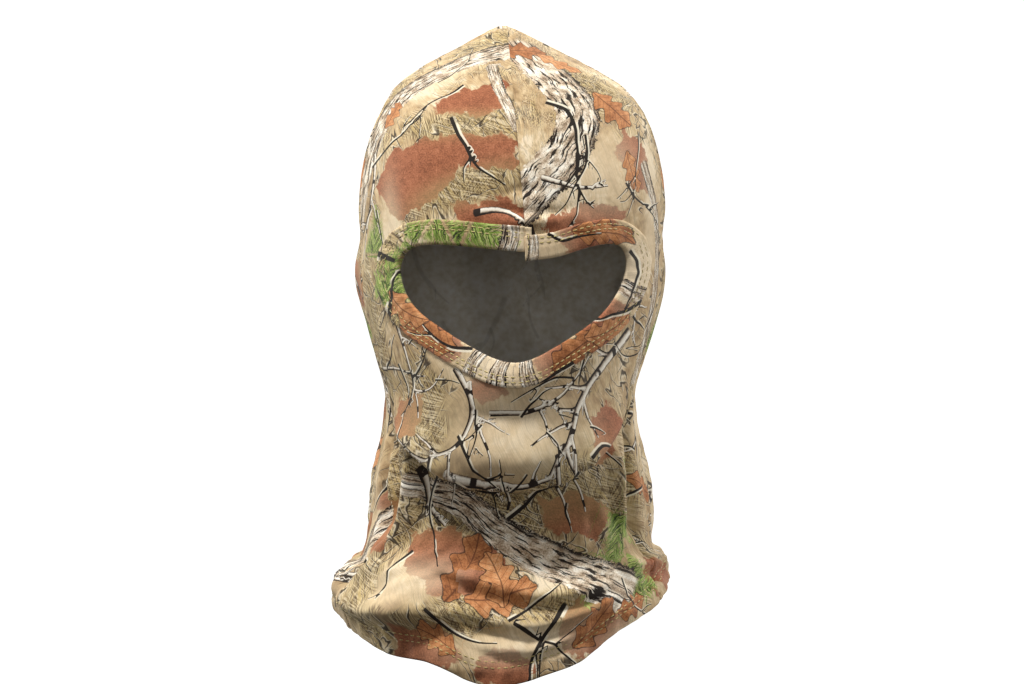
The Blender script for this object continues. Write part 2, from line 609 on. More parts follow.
def binding():
    """The band round the opening, one strip folded over the panel's edge, with its two rows of dimples.
    Returns points, faces, and each point's distance along and across."""
    n = 430
    line, out = opening_line(n)
    section, outside = band_section()
    t = np.arange(n)
    step = 1.1 * bell(n - 1 - t, 22.0) - 0.9 * bell(t, 22.0)
    run = t / (n - 1) * lengths(line)[-1]
    curve = np.abs(np.gradient(np.unwrap(np.arctan2(out[:, 1], out[:, 0]))))
    curve = np.convolve(curve / curve.max(), np.ones(15) / 15, mode="same")
    tuck = 0.9 * bell(t, 7.0)
    ripple = 0.20 * np.sin(run / 5.2 * TURN + 1.6 * np.sin(run / 17)) * (0.4 + curve * 2.2)
    verts = []
    for k, (g, lift) in enumerate(section):
        x, z = line[:, 0] + out[:, 0] * g, line[:, 1] + out[:, 1] * g + step
        off = lift
        if lift > 0.5 and k < outside:
            off = off - 0.24 * sum(bell(g - row, 0.7) for row in BAND_ROWS)
        if lift > 0:
            off = off + ripple * smooth((g + 4) / 8) + tuck
        verts.append(skin(frac_at(x, z), z, off))
    rings = np.stack(verts, 1)
    across = np.tile([g for g, lift in section], n)
    return rings.reshape(-1, 3), sweep(rings), np.repeat(run, len(section)), across


def ridge(name, frac, z, wide, mat):
    """An overlocked allowance: a flat roll along a line inside the cloth, looped over with thread."""
    sides, off, deep = 10, -1.5, 1.1
    line = skin(frac, z, off)
    up = skin(frac, z, off + 1.0) - line
    up /= np.linalg.norm(up, axis=1, keepdims=True)
    side = np.cross(np.gradient(line, axis=0), up)
    side /= np.linalg.norm(side, axis=1, keepdims=True)
    run = lengths(line)
    swell = 1 + 0.07 * np.sin(run / 2.1 * TURN)
    rings = []
    for a in np.arange(sides) * 0.6283:  # a tenth of a turn each
        across, above = math.cos(a) * wide / 2 * swell, math.sin(a) * deep / 2 * swell
        rings.append(line + side * across[:, None] + up * above[:, None])
    rings = np.stack(rings, 1)
    around = np.tile(np.arange(sides) * wide / 5, len(line))
    return mesh_object(name, rings.reshape(-1, 3), sweep(rings),
                       {"uvm": uv_attr(np.repeat(run, sides), around)}, [mat])


def seam_frac(z):
    """Where the long seam passes each height, on the wearer's left."""
    return search(z, 0.5, 26, lambda mid: base(mid, z)[..., 1] < SEAM_Y + SEAM_LEAN * z)


def long_seam():
    """The long seam's line, from above the hem on one side over the crown to the other."""
    high = TZ[TZ > 100]
    top = high[np.argmin(np.abs(FRONT_Y[TZ > 100] - SEAM_Y - SEAM_LEAN * high))]
    over = top - (top - 108) * (1 - np.linspace(0.01, 1, 160)) ** 2
    z = np.concatenate([np.linspace(-190, 108, 500), over])
    f = seam_frac(z)
    left, right = z > hem_z(f) + HEM_DEPTH, z > hem_z(-f) + HEM_DEPTH
    frac = np.concatenate([f[left], -f[right][::-1][1:]])
    z = np.concatenate([z[left], z[right][::-1][1:]])
    run = lengths(base(frac, z))
    at = np.linspace(0, run[-1], int(run[-1] / 0.5))
    return np.interp(at, run, frac), np.interp(at, run, z)


def care_label(name, mat):
    """A blank label folded in two, caught in the long seam inside the neck."""
    rows = np.linspace(-158, -136, 12)
    # distance from the seam, lift off the cloth's outside
    path = [(0, -0.95), (10, -0.97), (20, -1.0), (29, -1.1), (29.8, -1.45), (29.5, -1.85), (20, -1.95),
            (10, -1.85), (0, -1.7), (0, -1.5), (10, -1.65), (20, -1.75), (28.6, -1.6), (28.8, -1.4),
            (20, -1.2), (10, -1.15), (0, -1.13)]
    start, girth = seam_frac(rows), np.interp(rows, TZ, GIRTH)
    rings = np.stack([skin(start + (2.5 + s) / girth, rows, off - 0.4 * s / 30) for s, off in path], 1)
    across, up = np.tile([s for s, off in path], len(rows)), np.repeat(rows, len(path))
    return mesh_object(name, rings.reshape(-1, 3), sweep(rings), {"uvm": uv_attr(across, up)}, [mat])


# one stitch: its pitch, length, width and thickness; and how it lies: fraction along, size, rise
PITCH, STITCH, THREAD_WIDE, THREAD_DEEP = 3.6, 2.7, 0.55, 0.34
ARCH = [(0.0, 0.25, -0.35), (0.12, 0.8, -0.08), (0.5, 1.0, 0.10), (0.88, 0.8, -0.08), (1.0, 0.25, -0.35)]


def threads(name, frac, z, off, mat):
    """A row of stitches along a line on the cloth."""
    line = skin(frac, z, off)
    out = skin(frac, z, off + 1.0) - line
    d = lengths(line)
    count = int(d[-1] / PITCH)
    verts, faces = [], []
    ring = [(math.cos(a), math.sin(a)) for a in np.linspace(0, 2 * np.pi, 7)[:-1]]
    for k in range(count):
        at = (k + 0.15) * d[-1] / count + STITCH * np.array([q[0] for q in ARCH])
        mid, up = (np.stack([np.interp(at, d, arr[:, i]) for i in range(3)], -1) for arr in (line, out))
        fwd = mid[-1] - mid[0]
        fwd /= np.linalg.norm(fwd) + 1e-9
        start = len(verts)
        for (_, size, rise), centre, n in zip(ARCH, mid, up):
            n = n / (np.linalg.norm(n) + 1e-9)
            side = np.cross(fwd, n)
            for a, b in ring:
                out_of = side * a * THREAD_WIDE / 2 + n * b * THREAD_DEEP / 2
                verts.append(centre + n * rise + out_of * size)
        for i in range(4):
            for j in range(6):
                p, q = start + i * 6 + j, start + i * 6 + (j + 1) % 6
                faces.append((p, q, q + 6, p + 6))
        faces.append(tuple(start + j for j in range(6))[::-1])
        faces.append(tuple(start + 24 + j for j in range(6)))
    return mesh_object(name, np.array(verts), faces, {}, [mat])


# ---------------------------------------------------------------- the print: where its motifs lie
# A woodland pattern of this file's own: bark, limbs, twigs, leaves, needles and patches of plain colour.
CREAM, STRAW = 1, 2
FAR = 12.0  # a line's own coordinates stop here, in half widths
THICK = 0.85  # a branch wider than this (half width, mm) is drawn as a limb, any other as a twig


def grow_branch(rng, at, heading, length, width, level=0, out=None):
    """A crooked limb with side twigs: (points, half width at the start, at the end)."""
    out = [] if out is None else out
    steps = max(4, int(length / 7))
    pts, turn = [np.array(at, float)], heading
    drift = rng.normal(0, 0.10)
    for k in range(steps):
        turn += drift + rng.normal(0, 0.20)
        pts.append(pts[-1] + length / steps * np.array([math.cos(turn), math.sin(turn)]))
        if level < 2 and 0 < k < steps - 1 and rng.random() < (0.75 if level == 0 else 0.4):
            fork = turn + rng.choice([-1, 1]) * rng.uniform(0.5, 1.1)
            long, thick = length * rng.uniform(0.25, 0.5), width * rng.uniform(0.35, 0.6)
            grow_branch(rng, pts[-1], fork, long, thick, level + 1, out)
    out.append((spline(np.array(pts), steps * 2 + 1), width, max(width * 0.35, 0.22)))
    return out


def share_out(branches, limbs, twigs):
    """Put each branch with the limbs or the twigs."""
    for item in branches:
        (limbs if item[1] > THICK else twigs).append(item)


def near_box(u, v, points, reach):
    """Which places lie within reach of some points' box."""
    lo, hi = points.min(0) - reach, points.max(0) + reach
    return np.nonzero((u > lo[0]) & (u < hi[0]) & (v > lo[1]) & (v < hi[1]))[0]


def turned(u, v, cx, cy, turn):
    """Places seen from a motif's middle, turned with it."""
    c, s = math.cos(turn), math.sin(turn)
    return (u - cx) * c + (v - cy) * s, -(u - cx) * s + (v - cy) * c


def paint_lines(u, v, lines):
    """(distance across / half width, mm along, distance / half width) of the nearest line."""
    best, sn, tm = np.full(u.shape, FAR), np.full(u.shape, FAR), np.zeros(u.shape)
    for pts, w0, w1 in lines:
        idx = near_box(u, v, pts, max(w0, w1) * 3 + 6)
        if not len(idx):
            continue
        s, t, d = along(u[idx], v[idx], pts)
        w = w0 + (w1 - w0) * t
        dn = d / w
        win = dn < best[idx]
        k = idx[win]
        best[k], sn[k] = dn[win], np.clip(s[win] / w[win], -FAR, FAR)
        tm[k] = t[win] * lengths(pts)[-1] + pts[0, 0]
    return np.stack([sn, tm, best], -1)


def paint_leaves(u, v, leaves):
    """A leaf's own coordinates: along, across, and a number for its hue."""
    out = np.full(u.shape + (3,), 9.0)
    for cx, cy, size, turn, hue in leaves:
        p, q = turned(u, v, cx, cy, turn)
        p, q = p / size, q / size
        q = q - 0.12 * p * p
        inside = (np.abs(p) < 1.16) & (np.abs(q) < 0.80)
        out[inside] = np.stack([p, q, np.full(u.shape, hue)], -1)[inside]
    return out


def paint_sprigs(u, v, sprigs):
    """A needle sprig's own coordinates in mm: along its stem, across it, and its length."""
    out = np.full(u.shape + (3,), 99.0)
    for cx, cy, length, turn in sprigs:
        p, q = turned(u, v, cx, cy, turn)
        q = q + 3 * np.sin(p / length * 2.4)
        inside = (p > -4) & (p < length + 3) & (np.abs(q) < 20)
        out[inside] = np.stack([p, q, np.full(u.shape, length)], -1)[inside]
    return out


def paint_tone(u, v, areas, spots):
    """Distance (mm, inside is below 0) to the nearest brick patch, and weights of cream and straw."""
    out = np.zeros(u.shape + (3,))
    out[..., 0] = 30.0
    for poly in areas:
        p = np.asarray(poly, float)
        idx = near_box(u, v, p, 14)
        x, y = u[idx], v[idx]
        dist, within = np.full(x.shape, 1e9), np.zeros(x.shape, bool)
        for (ax, ay), (bx, by) in zip(p, np.roll(p, -1, axis=0)):
            ex, ey = bx - ax, by - ay
            t = np.clip(((x - ax) * ex + (y - ay) * ey) / (ex * ex + ey * ey), 0, 1)
            dist = np.minimum(dist, np.hypot(x - ax - t * ex, y - ay - t * ey))
            within ^= ((ay > y) != (by > y)) & (x < ex * (y - ay) / (ey + 1e-12) + ax)
        out[idx, 0] = np.minimum(out[idx, 0], np.where(within, -dist, dist))
    for kind, cx, cy, rx, ry, turn in spots:
        p, q = turned(u, v, cx, cy, turn)
        p, q = p / rx, q / ry
        out[..., kind] = np.maximum(out[..., kind], np.exp(-(p * p + q * q) ** 1.3 * 0.7))
    return out


def plan_of(*motifs):
    """A print's motifs under the names of the attributes that they are painted into."""
    return dict(zip(("area", "tone", "bark", "limb", "twig", "leafa", "leafb", "pine"), motifs))


def at_front(x, z):
    """The unrolled place of a point seen from the front."""
    return tuple(from_front([(x, z)])[0])


def on_front(motifs):
    """Motifs that start with their (x, z) seen from the front, moved to their unrolled places."""
    return [(*at_front(x, z), *rest) for x, z, *rest in motifs]


def front_print():
    """Colour areas in the places a wearer's face shows them; the limbs and twigs grow from a seed."""
    rng = np.random.default_rng(41)
    areas = [from_front(poly) for poly in [
        [(-71, 44), (-64, 62), (-30, 71), (-8, 70), (3, 66), (2, 52), (-26, 53), (-38, 38), (-58, 27)],
        [(-42, 88), (-24, 95), (-3, 98), (-2, 82), (-20, 80), (-38, 82)],
        [(-30, 34), (-6, 38), (10, 30), (2, 20), (-26, 19)],
        [(14, 26), (34, 34), (60, 32), (52, 18), (24, 14)],
        [(58, 76), (70, 64), (72, 40), (62, 46), (54, 62)],
        [(-26, -58), (-8, -54), (0, -62), (-14, -68)],
        [(38, -76), (48, -66), (56, -78), (52, -96), (42, -100)],
        [(-56, -66), (-44, -62), (-46, -86), (-58, -88)],
        [(14, -116), (40, -112), (52, -124), (44, -138), (20, -132)],
        [(-72, -118), (-60, -116), (-58, -140), (-70, -152)],
        [(-50, -134), (-30, -130), (-6, -138), (2, -152), (-14, -164), (-34, -166), (-50, -152)],
        [(-56, -182), (-30, -180), (-22, -196), (-44, -208), (-58, -200)],
        [(30, -170), (58, -164), (66, -180), (50, -196), (32, -194)],
        [(-14, -196), (8, -190), (20, -202), (4, -210), (-12, -208)],
        [(70, -150), (82, -152), (80, -168), (70, -166)]]]
    spots = []
    # kind, x, z, half width, half height, turn
    for kind, x, z, rx, ry, turn in [
            (CREAM, 4, -80, 34, 20, 0.0), (CREAM, -50, -162, 26, 10, 0.3), (CREAM, 14, -188, 36, 8, 0.1),
            (CREAM, 44, 52, 24, 20, 0.0), (CREAM, -36, 102, 30, 8, 0.7), (CREAM, 64, -186, 14, 9, 0.4),
            (CREAM, -62, 16, 8, 26, 0.1), (CREAM, -30, -46, 18, 7, -0.6),
            (STRAW, -24, 76, 34, 7, 0.06), (STRAW, -26, 42, 30, 8, 0.35), (STRAW, -44, -76, 20, 26, 0.2),
            (STRAW, -58, -112, 22, 34, 1.4), (STRAW, 40, -108, 30, 18, -0.3), (CREAM, 73, 30, 9, 34, 0.0),
            (STRAW, -70, -30, 10, 40, 0.1), (STRAW, 66, -60, 12, 40, -0.1), (STRAW, 0, -120, 44, 12, 0.1),
            (STRAW, 40, -170, 30, 8, 0.2), (STRAW, -60, 100, 30, 10, 0.9), (STRAW, -70, -170, 16, 20, 0.2),
            (STRAW, 44, 96, 26, 16, -0.7), (STRAW, -20, -176, 26, 8, 0.1), (STRAW, 0, 122, 30, 10, 0)]:
        spots.append((kind, *at_front(x, z), rx, ry, turn))
    trunks = []
    for pts, w0, w1 in [
            ([(-79, 40), (-70, 76), (-50, 98), (-26, 110), (-2, 116)], 11, 9),
            ([(16, 112), (27, 96), (35, 80), (29, 62), (17, 48), (6, 36)], 14, 12),
            ([(-8, 106), (-5, 92), (2, 76)], 3.6, 3.0),
            ([(-48, -110), (-24, -119), (-4, -134), (20, -147), (38, -155), (54, -161)], 6, 12),
            ([(70, 52), (76, 20), (74, -16), (66, -52)], 4.5, 4.0),
            ([(-76, -96), (-74, -120), (-76, -150)], 6, 6)]:
        trunks.append((spline(from_front(pts), 8 * len(pts)), w0, w1))
    # x, z, size, turn, hue
    leaves_a = on_front([
        (10, 117, 17, 0.2, 0.35), (52, 86, 19, -0.75, 0.5), (-20, -152, 19, 1.2, 0.3),
        (-2, -166, 18, 0.15, 0.6), (48, -180, 15, 0.9, 0.45), (-62, 84, 12, 1.0, 0.6),
        (62, 52, 12, -1.2, 0.7), (-40, -30, 12, -0.5, 0.4)])
    leaves_b = on_front([
        (-4, -156, 15, 2.0, 0.7), (30, 110, 13, -0.5, 0.8), (-34, -186, 12, 2.6, 0.5),
        (66, -172, 11, 0.3, 0.3)])
    # x, z, length, turn
    sprigs = on_front([
        (64, -100, 34, -1.75), (58, -128, 34, -1.85), (62, -146, 36, -0.75), (48, -150, 22, -1.9),
        (71, -112, 34, -1.6), (62, -158, 30, -0.1), (78, -140, 30, -1.9), (-66, -8, 26, 1.9),
        (-72, 12, 22, 1.5)])
    limbs, twigs = [], []
    # x, z, heading, length, half width
    for x, z, head, length, width in [
            (-26, -52, -0.95, 66, 2.0), (58, -34, -2.1, 84, 3.2), (-8, -72, 0.12, 62, 1.6),
            (-60, -20, -1.45, 56, 1.7), (-66, -50, -0.1, 50, 1.3), (-20, -58, -1.5, 44, 1.3),
            (-26, -103, 0.05, 44, 3.2), (-16, 30, 0.42, 44, 2.0), (18, 47, -0.35, 34, 1.8),
            (-46, -104, -1.2, 30, 3.0), (66, 10, -1.7, 50, 1.8), (-72, 60, -1.3, 60, 2.0)]:
        share_out(grow_branch(rng, at_front(x, z), head, length, width), limbs, twigs)
    for x, z, head, length, width in [
            (-30, 76, -1.4, 44, 1.1), (-72, 57, 0.45, 48, 0.8), (-26, 96, -1.9, 48, 0.7),
            (22, 86, -0.3, 56, 1.2), (38, 68, -1.25, 46, 0.7), (33, 60, -1.4, 40, 0.7),
            (66, 72, -1.7, 48, 0.6), (60, 44, -0.9, 40, 0.7), (-22, -108, -0.9, 36, 1.2),
            (2, -124, 0.6, 40, 1.0), (-38, -98, -1.1, 54, 0.9), (-50, -146, -1.9, 26, 0.8),
            (-34, -176, -0.85, 34, 0.9), (8, -180, -0.5, 44, 0.9), (28, -174, -1.9, 46, 1.2),
            (6, -176, 0.5, 26, 0.8), (60, -160, -1.5, 30, 0.7), (-70, 30, -1.2, 46, 0.6),
            (74, -20, -1.9, 60, 0.6), (40, -92, 0.8, 26, 0.9), (30, -54, 3.0, 34, 0.6),
            (-36, 100, 0.3, 40, 0.5)]:
        twigs += grow_branch(rng, at_front(x, z), head, length, width, 1)
    return plan_of(areas, spots, trunks, limbs, twigs, leaves_a, leaves_b, sprigs)


def scattered_print(seed, box):
    """The same motifs scattered over a box (lowest and highest place, mm)."""
    rng = np.random.default_rng(seed)
    (u0, v0), (u1, v1) = box
    area = (u1 - u0) * (v1 - v0) / 10000.0

    def places(per_area):
        """Places spread over the box, so many per square decimetre, each somewhere in its own cell."""
        n = max(1, int(round(per_area * area)))
        cols = max(1, int(round(math.sqrt(n * (u1 - u0) / (v1 - v0)))))
        rows = int(math.ceil(n / cols))
        cells = [(i, j) for j in range(rows) for i in range(cols)]
        rng.shuffle(cells)
        return [(u0 + (i + rng.uniform(0.1, 0.9)) * (u1 - u0) / cols,
                 v0 + (j + rng.uniform(0.1, 0.9)) * (v1 - v0) / rows) for i, j in cells[:n]]

    def leaves():
        return [(x, y, rng.uniform(11, 19), rng.uniform(0, 6.28), rng.uniform(0.2, 0.8))
                for x, y in places(1.3)]

    spots = []
    for x, y in places(4.2):
        kind = int(rng.choice([CREAM, STRAW, STRAW, STRAW]))
        spots.append((kind, x, y, rng.uniform(12, 30), rng.uniform(8, 18), rng.uniform(-0.8, 0.8)))
    areas = []
    for x, y in places(1.5):
        wide, tall, lean = rng.uniform(14, 34), rng.uniform(9, 20), rng.uniform(-0.7, 0.7)
        c, s = math.cos(lean), math.sin(lean)
        spokes = [(a + rng.uniform(-0.3, 0.3), rng.uniform(0.65, 1.2)) for a in np.arange(6) * 1.047]
        ring = [(math.cos(a) * r * wide, math.sin(a) * r * tall) for a, r in spokes]
        areas.append([(x + p * c - q * s, y + p * s + q * c) for p, q in ring])
    trunks = []
    for x, y in places(0.62):
        pts = [np.array([x, y])]
        head = rng.choice([1.3, -1.5, 0.3, -0.5]) + rng.normal(0, 0.25)
        for _ in range(4):
            head += rng.normal(0, 0.28)
            pts.append(pts[-1] + 26 * np.array([math.cos(head), math.sin(head)]))
        w = rng.uniform(5, 12)
        trunks.append((spline(np.array(pts), 30), w, w * rng.uniform(0.6, 1.1)))
    leaves_a, leaves_b = leaves(), leaves()[::2]
    sprigs = [(x, y, rng.uniform(22, 36), rng.uniform(-2.4, 0.4)) for x, y in places(0.8)]
    limbs, twigs = [], []
    for at in places(1.6):
        branch = grow_branch(rng, at, rng.uniform(-3.1, 3.1), rng.uniform(34, 76), rng.uniform(1.2, 3.0))
        share_out(branch, limbs, twigs)
    for at in places(3.2):
        twigs += grow_branch(rng, at, rng.uniform(-3.1, 3.1), rng.uniform(26, 52), rng.uniform(0.5, 1.1), 1)
    return plan_of(areas, spots, trunks, limbs, twigs, leaves_a, leaves_b, sprigs)


def band_print():
    """The strip's print, by distance along and across it."""
    rng = np.random.default_rng(9)
    spots = [(kind, x, 6, rx, ry, 0) for kind, x, rx, ry in [
        (CREAM, 8, 14, 12), (CREAM, 66, 14, 12), (CREAM, 150, 18, 14), (STRAW, 216, 20, 14),
        (CREAM, 290, 16, 14)]]
    areas = [[(x0, -4), (x1, -4), (x1 + 3, 6), (x1 - 2, 18), (x0 + 4, 18), (x0 - 3, 7)]
             for x0, x1 in [(22, 46), (82, 104), (118, 130), (172, 196)]]
    trunks = [(spline(np.array([(x, -3), (x + 1.5, 6), (x + 0.5, 16)]), 12), w, w)
              for x, w in [(136, 3.2), (147, 3.6), (159, 3.4), (286, 5.0), (3, 3.0), (72, 4.0)]]
    leaves_a = [(112, 6, 15, 0.1, 0.3), (186, 6, 15, 0.2, 0.45), (40, 6, 13, -0.2, 0.5)]
    leaves_b = [(94, 8, 12, 2.9, 0.6), (203, 4, 12, 3.4, 0.7)]
    sprigs = [(x, y, 22, turn) for x, y, turn in [
        (222, 3, 0.5), (232, 12, -0.4), (242, 2, 0.5), (252, 13, -0.5), (262, 2, 0.5), (270, 12, -0.3),
        (212, 10, -0.3)]]
    twigs = []
    for x, y, head in [(58, 3, 0.4), (78, 10, -0.5), (120, 11, -0.2), (168, 2, 0.6), (208, 10, -0.6),
                       (16, 10, -0.3), (228, 6, 1.4)]:
        twigs += grow_branch(rng, (x, y), head, 24, 0.9, 1)
    return plan_of(areas, spots, trunks, [], twigs, leaves_a, leaves_b, sprigs)


def painted(u, v, plan):
    """The attributes that tell the print's material which motif is where."""
    out = {"tone": paint_tone(u, v, plan["area"], plan["tone"]), "pine": paint_sprigs(u, v, plan["pine"])}
    out.update({key: paint_lines(u, v, plan[key]) for key in ("bark", "limb", "twig")})
    out.update({key: paint_leaves(u, v, plan[key]) for key in ("leafa", "leafb")})
    return out


def half(plan, left):
    """The motifs that one side of the forehead seam shows: its own above the opening, and all below it."""
    middle = {"area": lambda m: np.mean(m, axis=0), "tone": lambda m: m[1:3]}
    middle.update({key: lambda m: m[0].mean(0) for key in ("bark", "limb", "twig")})

    def shows(key, motif):
        u, v = middle.get(key, lambda m: m[:2])(motif)
        return v < 12 or (u > 6.0) == left

    return {key: [m for m in motifs if shows(key, m)] for key, motifs in plan.items()}


# ---------------------------------------------------------------- materials
INK = (0.15, 0.11, 0.08)
COURSE = 2 * math.pi / 0.95  # one course of the knit every 0.95 mm


def lin(r, g, b):
    """A colour as it looks, in the renderer's own numbers."""
    f = lambda c: c / 12.92 if c <= 0.04045 else ((c + 0.055) / 1.055) ** 2.4
    return f(r), f(g), f(b), 1.0


class Number:
    """A number inside a material, with ordinary arithmetic."""
    def __init__(self, net, socket):
        self.net, self.socket = net, socket

    def __add__(self, other):
        return self.net.m("ADD", self, other)

    def __sub__(self, other):
        return self.net.m("SUBTRACT", self, other)

    def __rsub__(self, other):
        return self.net.m("SUBTRACT", other, self)

    def __mul__(self, other):
        return self.net.m("MULTIPLY", self, other)

    def __truediv__(self, other):
        return self.net.m("DIVIDE", self, other)

    def __abs__(self):
        return self.net.m("ABSOLUTE", self)


class Net:
    """The nodes of one material, under short names."""
    def __init__(self, name):
        self.mat = bpy.data.materials.new(name)
        self.mat.use_nodes = True
        self.tree = self.mat.node_tree
        self.bsdf = self.tree.nodes["Principled BSDF"]

    def node(self, kind, ins, **props):
        nd = self.tree.nodes.new(kind)
        for k, v in props.items():
            setattr(nd, k, v)
        for k, v in ins.items():
            self.put(nd.inputs[k], v)
        return nd

    def put(self, socket, value):
        value = value.socket if isinstance(value, Number) else value
        if isinstance(value, bpy.types.NodeSocket):
            self.tree.links.new(value, socket)
        else:
            socket.default_value = value

    def m(self, op, a, b=0.0):
        return Number(self, self.node("ShaderNodeMath", {0: a, 1: b}, operation=op).outputs[0])

    def attr(self, name):
        """The three numbers that the mesh holds under a name."""
        at = self.node("ShaderNodeAttribute", {}, attribute_name=name).outputs["Vector"]
        return [Number(self, out) for out in self.node("ShaderNodeSeparateXYZ", {0: at}).outputs]

    def vec(self, x, y, z):
        return self.node("ShaderNodeCombineXYZ", {0: x, 1: y, 2: z}).outputs[0]

    def noise(self, vector, scale, detail=2.0, rough=0.5):
        ins = {"Vector": vector, "Scale": scale, "Detail": detail, "Roughness": rough}
        return Number(self, self.node("ShaderNodeTexNoise", ins).outputs["Fac"])

    def ramp(self, fac, stops):
        nd = self.node("ShaderNodeValToRGB", {"Fac": fac})
        while len(nd.color_ramp.elements) < len(stops):
            nd.color_ramp.elements.new(0.5)
        for el, (at, col) in zip(nd.color_ramp.elements, stops):
            el.position, el.color = at, lin(*col)
        return nd.outputs["Color"]

    def step(self, x, edge, soft=0.04):
        """0 below an edge, 1 above it."""
        nd = self.node("ShaderNodeMapRange", {"Value": x, "From Min": edge - soft, "From Max": edge + soft},
                       interpolation_type="SMOOTHSTEP")
        return Number(self, nd.outputs["Result"])

    def inside(self, x, edge, soft=0.04):
        return 1.0 - self.step(x, edge, soft)

    def mix(self, fac, under, over, blend="MIX"):
        nd = self.node("ShaderNodeMix", {}, data_type="RGBA", blend_type=blend)
        over = lin(*over) if isinstance(over, tuple) else over
        for k, value in ((0, fac), (6, under), (7, over)):
            self.put(nd.inputs[k], value)
        return nd.outputs[2]

    def bump(self, strength, distance, height):
        nd = self.node("ShaderNodeBump", {"Strength": strength, "Distance": distance, "Height": height})
        self.put(self.bsdf.inputs["Normal"], nd.outputs[0])

    def finish_cloth(self, color, knit, grain, rough=0.82):
        """Knitted polyester: dull, with a light sheen and the knit's relief."""
        self.put(self.bsdf.inputs["Base Color"], color)
        self.bump(0.35, 0.00012, knit * 0.5 + grain * 0.6)
        self.put(self.bsdf.inputs["Roughness"], grain * 0.12 + (rough - 0.06))
        for key, value in (("Specular IOR Level", 0.25), ("Sheen Weight", 0.10), ("Sheen Roughness", 0.45),
                           ("Sheen Tint", lin(1.0, 0.97, 0.86))):
            self.bsdf.inputs[key].default_value = value
        return self.mat


class Print(Net):
    """Ink on the unrolled cloth: where the cloth is, and the noises that all its layers share."""
    def __init__(self, name):
        super().__init__(name)
        self.u, self.v, self.w = self.attr("uvm")
        flat = self.vec(self.u, self.v, self.w)
        self.big = self.noise(flat, 1 / 42)
        self.mid = self.noise(flat, 1 / 13, 3.0, 0.6)
        self.fine = self.noise(flat, 1 / 3.2, 3.0, 0.65)
        self.grain = self.noise(flat, 1 / 0.9, 2.0, 0.6)

    def drawn(self, turn, wander, reach, wide, tall, seed):
        """A noise drawn out into strokes at an angle, pushed sideways by another noise."""
        c, s = math.cos(turn), math.sin(turn)
        p = self.u * c + self.v * s + wander * reach
        q = self.v * c - self.u * s
        return self.noise(self.vec(p / wide, q / tall, self.w + seed), 1.0, 2.0, 0.55)

    def drift(self, size, seed, detail):
        return self.noise(self.vec(self.u, self.v, self.w + seed), 1 / size, detail)


def ground(g, cream, straw):
    """Tan cloth with faint streaks."""
    level = g.big * 0.8 + g.mid * 0.55 + g.fine * 0.30 + cream * 0.12 - straw * 0.16
    color = g.ramp(level, [
        (0.55, (0.42, 0.33, 0.22)), (0.68, (0.60, 0.49, 0.35)), (0.80, (0.73, 0.62, 0.46)),
        (0.92, (0.82, 0.73, 0.58)), (1.0, (0.89, 0.82, 0.70))])
    streak = g.drawn(0.5, g.big, 30.0, 0.9, 22.0, 0.0)
    return g.mix(g.step(streak, 0.54) * 0.30, color, (0.42, 0.32, 0.21))


def brick(g, color, area):
    """Plain patches with ragged edges; returns where they are too."""
    patch = g.inside(area + (g.mid - 0.5) * 16.0 + (g.fine - 0.5) * 5.0, 0.0, 0.7)
    speck = g.grain * 0.45 + (g.fine + g.mid) * 0.27
    rust = g.ramp(speck, [(0.40, (0.48, 0.28, 0.18)), (0.52, (0.61, 0.37, 0.25)), (0.64, (0.69, 0.45, 0.32))])
    return g.mix(patch, color, rust), patch


# angle, seed, width and length of a stroke (mm), how rare, strength, dark and light colour
GRASS = [
    (0.16, 3.0, 0.72, 19.0, 0.585, 0.66, (0.27, 0.20, 0.13), (0.87, 0.79, 0.62)),
    (-0.55, 11.0, 0.66, 16.0, 0.615, 0.66, (0.22, 0.16, 0.10), (0.78, 0.69, 0.50)),
    (1.30, 19.0, 0.75, 18.0, 0.625, 0.62, (0.34, 0.25, 0.16), (0.86, 0.79, 0.65)),
    (0.70, 27.0, 0.7, 22.0, 0.635, 0.60, (0.30, 0.22, 0.13), (0.74, 0.64, 0.42))]
# angle, seed, spacing and length (mm), thickness
BLADES = [(0.35, 33.0, 15.0, 80.0, 0.007), (-0.8, 41.0, 13.0, 60.0, 0.008), (1.1, 52.0, 17.0, 70.0, 0.006)]


def grass(g, color, patch, cream, straw):
    """Dry grass: drifts of short strokes, then long single blades."""
    calm = patch * 0.6 + cream * 0.26
    for turn, seed, wide, tall, rare, amount, dark, light in GRASS:
        strokes = g.drawn(turn, g.big, 12.0, wide, tall, seed)
        there = g.step(g.drift(19, seed, 2.0) + straw * 0.26 - calm, rare, 0.07)
        color = g.mix(there * g.step(strokes, 0.55, 0.03) * amount, color, dark)
        color = g.mix(there * g.inside(strokes, 0.44, 0.03) * (amount * 1.2), color, light)
    bare = (1.0 - patch) * g.inside(cream, 0.28, 0.12)
    for turn, seed, wide, tall, thin in BLADES:
        level = g.drawn(turn, g.mid, 5.0, wide, tall, seed) - 0.5
        some = g.step(g.drift(26, seed + 3, 1.0), 0.48, 0.03) * bare
        lit = g.step(level, 0.0, 0.003) * g.inside(level, 0.013, 0.003)
        color = g.mix(some * lit * 0.8, color, (0.88, 0.82, 0.70))
        color = g.mix(some * g.inside(abs(level), thin, 0.003) * 0.9, color, (0.17, 0.12, 0.08))
    return color


